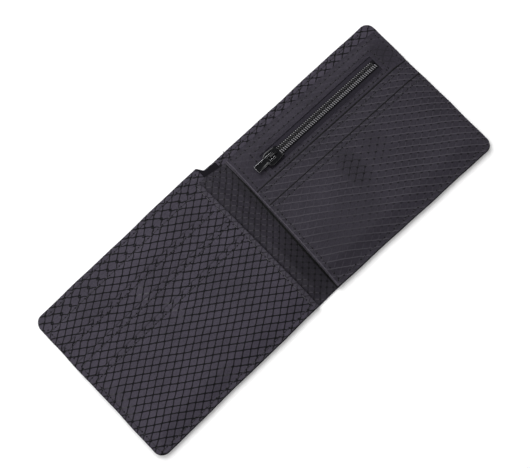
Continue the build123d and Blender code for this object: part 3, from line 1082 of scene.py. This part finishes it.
def makeCoils():
    for word, sign in (("Upper", 1), ("Lower", -1)):
        low, high = (np.array(corner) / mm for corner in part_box("zip_coil_" + word.lower()))
        length = high[0] - low[0]
        turns = int(length / zipParts["pitch"]) - 1
        start = low[0] + 0.5 + (0 if sign > 0 else zipParts["pitch"] / 2)
        half = (zipParts["reach"] + zipParts["lap"]) / 2
        middleY = zipParts["y"] + sign * (zipParts["reach"] - half)
        middleZ = zipParts["foot"] + zipParts["rise"] / 2
        radius = 1.0
        bpy.ops.object.select_all(action="DESELECT")
        bpy.ops.mesh.primitive_circle_add(vertices=8, radius=zipParts["wire"] * mm, fill_type="NGON",
                                          location=(0, sign * radius * mm, 0))
        coil = bpy.context.object
        bpy.ops.object.transform_apply(location=True, rotation=True, scale=True)
        screw = coil.modifiers.new("turns", "SCREW")
        screw.axis = "X"
        screw.screw_offset = zipParts["pitch"] * mm
        screw.iterations = turns
        screw.steps = 18
        screw.render_steps = 18
        screw.use_merge_vertices = True
        screw.merge_threshold = 0.001 * mm
        applyAll(coil)
        place = points(coil)
        # loops drawn out flat: wide across the zip, low above the tape, wire kept round
        fromAxis = np.hypot(place[:, 1], place[:, 2])
        cosine, sine = place[:, 1] / fromAxis, place[:, 2] / fromAxis
        off = fromAxis - radius
        wide, tall = half - zipParts["wire"], zipParts["rise"] / 2 - zipParts["wire"]
        square = 0.75
        loopY = np.sign(cosine) * np.abs(cosine) ** square * wide
        loopZ = np.sign(sine) * np.abs(sine) ** square * tall
        normal = np.stack([cosine * tall, sine * wide], 1)
        normal /= np.linalg.norm(normal, axis=1)[:, None]
        place[:, 0] += start
        place[:, 1] = middleY + loopY + normal[:, 0] * off
        place[:, 2] = middleZ + loopZ + normal[:, 1] * off
        setPoints(coil, place)
        coil.name = "zipCoil" + word
        coil.data.name = coil.name
        pick(coil)
        bpy.ops.object.mode_set(mode="EDIT")
        bpy.ops.mesh.select_all(action="SELECT")
        bpy.ops.mesh.normals_make_consistent(inside=False)
        bpy.ops.object.mode_set(mode="OBJECT")
        smooth(coil, 60)
        give(coil, coilNylon("coilNylon" + word, sign))
        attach(coil, "right_half")
        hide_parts("zip_coil_" + word.lower())
    print("zip coils wound")


def solidFrom(name, low, high, edge, segments=3, cuts=0, edgeWearAndHighlight="sliderEdgeHighlight"):
    # a block between two corners, its edges to be rounded by a bevel
    bpy.ops.object.select_all(action="DESELECT")
    centre = [(a + b) / 2 * mm for a, b in zip(low, high)]
    bpy.ops.mesh.primitive_cube_add(size=1, location=centre)
    block = bpy.context.object
    block.name = name
    block.scale = [(b - a) * mm for a, b in zip(low, high)]
    bpy.ops.object.transform_apply(location=True, rotation=True, scale=True)
    if cuts:
        bpy.ops.object.mode_set(mode="EDIT")
        bpy.ops.mesh.select_all(action="SELECT")
        bpy.ops.mesh.subdivide(number_cuts=cuts)
        bpy.ops.object.mode_set(mode="OBJECT")
    soft = block.modifiers.new("soft", "BEVEL")
    soft.width = edge * mm
    soft.segments = segments
    soft.limit_method = "ANGLE"
    soft.angle_limit = math.radians(30)
    soft.material = 1
    # the bevel faces take the edge colour: worn metal on the pull, a painted highlight on the slider
    for stuff in ("sliderPaint", edgeWearAndHighlight):
        block.data.materials.append(bpy.data.materials[stuff])
    return block


def makeSlider():
    low, high = (np.array(corner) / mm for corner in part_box("slider_body"))
    middle = (low + high) / 2
    upperZ = high[2] - 0.6

    def tapered(block):
        # wide at the end that opens the coils, waisted behind it
        place = points(block)
        along = (place[:, 0] - low[0]) / (high[0] - low[0])
        width = np.interp(along, [0, 0.17, 0.45, 1], [0.72, 1.0, 0.98, 0.80])
        place[:, 1] = middle[1] + (place[:, 1] - middle[1]) * width
        setPoints(block, place)
        return block

    top = tapered(solidFrom("top", (low[0], low[1], upperZ), (high[0] - 0.9, high[1], high[2]), 0.1, 3, 6))
    crown = points(top)
    raised = crown[:, 2] > high[2] - 0.05
    crown[raised, 2] += 0.05 * (1 - ((crown[raised, 1] - middle[1]) / 3.8) ** 2)
    setPoints(top, crown)
    bottom = tapered(solidFrom("bottom", low, (high[0], high[1], low[2] + 0.5), 0.12, 2, 6))
    walls = []
    for sign in (-1, 1):
        inner, outer = sorted((middle[1] + sign * 2.75, middle[1] + sign * 3.78))
        wall = solidFrom("wall", (low[0] + 1.6, inner, 4.25), (high[0], outer, upperZ + 0.1), 0.1, 2, 6)
        walls.append(tapered(wall))
    post = solidFrom("post", (low[0] + 0.6, middle[1] - 0.3, low[2] + 0.2),
                     (low[0] + 2.6, middle[1] + 0.3, upperZ + 0.2), 0.1, 2)
    pieces = [top, bottom, post] + walls
    for piece in pieces:
        applyAll(piece)
        # only the edges on one side keep the lighter edge colour, a painted highlight along them; all other faces
        # take the paint
        for face in piece.data.polygons:
            if face.center.y / mm > middle[1] - 1 or face.center.z / mm < upperZ:
                face.material_index = 0
    slider = joined("sliderBody", pieces)
    smooth(slider, 35)

    bridgeLow, bridgeHigh = (np.array(corner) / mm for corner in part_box("slider_bridge"))
    centre = (bridgeLow + bridgeHigh) / 2
    bpy.ops.object.select_all(action="DESELECT")
    bpy.ops.mesh.primitive_torus_add(major_radius=1.0 * mm, minor_radius=0.25 * mm, major_segments=40, minor_segments=12,
                                     location=(0, 0, 0), rotation=(math.pi / 2, 0, 0))
    bridge = bpy.context.object
    bpy.ops.object.transform_apply(location=True, rotation=True, scale=True)
    bpy.ops.object.mode_set(mode="EDIT")
    bpy.ops.mesh.select_all(action="SELECT")
    bpy.ops.mesh.bisect(plane_co=(0, 0, 0), plane_no=(0, 0, 1), clear_inner=True, use_fill=True)
    bpy.ops.object.mode_set(mode="OBJECT")
    place = points(bridge)
    spanX = (bridgeHigh[0] - bridgeLow[0]) / 2 - 0.25
    angle = np.arctan2(np.maximum(place[:, 2], 0), place[:, 0])
    out = np.hypot(place[:, 0], place[:, 2]) - 1
    archX = np.sign(np.cos(angle)) * np.abs(np.cos(angle)) ** 0.55 * (spanX - 0.1)
    archZ = np.abs(np.sin(angle)) ** 0.55 * (bridgeHigh[2] - bridgeLow[2] - 0.25)
    flat = place[:, 1].copy()
    place[:, 0] = centre[0] + archX + out * np.cos(angle) * 1.2
    place[:, 1] = centre[1] + flat * 2.1
    place[:, 2] = bridgeLow[2] - 0.02 + archZ + out * np.sin(angle)
    setPoints(bridge, place)
    bridge.name = "sliderBridge"
    bridge.data.name = "sliderBridge"
    smooth(bridge, 60)
    give(bridge, sliderPaint)
    for piece, node in ((slider, "slider_body"), (bridge, "slider_bridge")):
        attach(piece, "zip_slider")
        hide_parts(node)
    print("slider made")


def selectFaces(obj, test):
    pick(obj)
    bpy.ops.object.mode_set(mode="EDIT")
    bpy.ops.mesh.select_mode(type="FACE")
    bpy.ops.mesh.select_all(action="DESELECT")
    bpy.ops.object.mode_set(mode="OBJECT")
    for face in obj.data.polygons:
        face.select = bool(test(face.center / mm, face.normal))


def makePull():
    # a flat tab with a sunk face, and an eye at its end that runs round the bridge
    low, high = (np.array(corner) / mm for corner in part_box("pull_tab"))
    middle = (low + high) / 2
    eyeFrom = high[0] - 4.15
    tab = solidFrom("pullTab", low, high, 0.1, 2, edgeWearAndHighlight="pullWornEdge")
    bpy.ops.object.mode_set(mode="EDIT")
    bpy.ops.mesh.select_all(action="SELECT")
    bpy.ops.mesh.bisect(plane_co=(eyeFrom * mm, 0, 0), plane_no=(1, 0, 0))
    bpy.ops.object.mode_set(mode="OBJECT")
    selectFaces(tab, lambda centre, normal: abs(normal[2]) > 0.9)
    bpy.ops.object.mode_set(mode="EDIT")
    bpy.ops.mesh.inset(thickness=0.62 * mm, use_individual=True)
    bpy.ops.object.mode_set(mode="OBJECT")
    # the blade's inset faces sink; the eye's are cut through and joined by walls
    place = points(tab)
    inBlade = (place[:, 0] > low[0] + 0.3) & (place[:, 0] < eyeFrom - 0.3) & (np.abs(place[:, 1] - middle[1]) < 1.6)
    place[inBlade, 2] = middle[2] + (place[inBlade, 2] - middle[2]) * 0.45
    inEye = (place[:, 0] > eyeFrom + 0.3) & (np.abs(place[:, 1] - middle[1]) < 1.6)
    place[inEye, 1] = middle[1] + np.sign(place[inEye, 1] - middle[1]) * 0.98
    setPoints(tab, place)
    eyeCentre = (eyeFrom + high[0]) / 2
    selectFaces(tab, lambda centre, normal: abs(normal[2]) > 0.9 and abs(centre[0] - eyeCentre) < 0.6
                and abs(centre[1] - middle[1]) < 0.2)
    bpy.ops.object.mode_set(mode="EDIT")
    bpy.ops.mesh.bridge_edge_loops()
    bpy.ops.object.mode_set(mode="OBJECT")
    applyAll(tab)
    place = points(tab)
    taper = np.interp(place[:, 0], [low[0], high[0]], [1.0, 0.93])
    place[:, 1] = middle[1] + (place[:, 1] - middle[1]) * taper
    setPoints(tab, place)
    tab.data.name = "pullTab"
    smooth(tab, 30)
    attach(tab, "pull")
    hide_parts("pull_tab")
    print("pull made")


makeTapes()
makeCoils()
makeSlider()
makePull()


def zipBoxThread():
    top = cadSheet("zip_panel", 0.35)[1][2]
    left, right, low, high = seams["boxLeft"], seams["boxRight"], seams["boxLow"], seams["boxHigh"]
    rows = [seam((left, at), (right, at), top) for at in (low, high)]
    rows += [seam((at, low), (at, high), top) for at in (left, right)]
    piece = threadPiece("zipBoxThread", rows, lambda x, y: seamLift(x, y, [low, high], [left, right]))
    give(piece, threadStuff)
    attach(piece, "right_half")
    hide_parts("zip_box_thread")


zipBoxThread()

addCamera()
addLights()


def makeFloor():
    bpy.ops.object.select_all(action="DESELECT")
    bpy.ops.mesh.primitive_plane_add(size=4, location=(0, 0, -0.0002))
    floor = bpy.context.object
    floor.name = "floor"
    material, shader, start = newMaterial("floorPaper", {
        "Base Color": (studio["floorColour"],) * 3 + (1,), "Roughness": 0.9, "Specular IOR Level": 0.1})
    give(floor, material)


makeFloor()
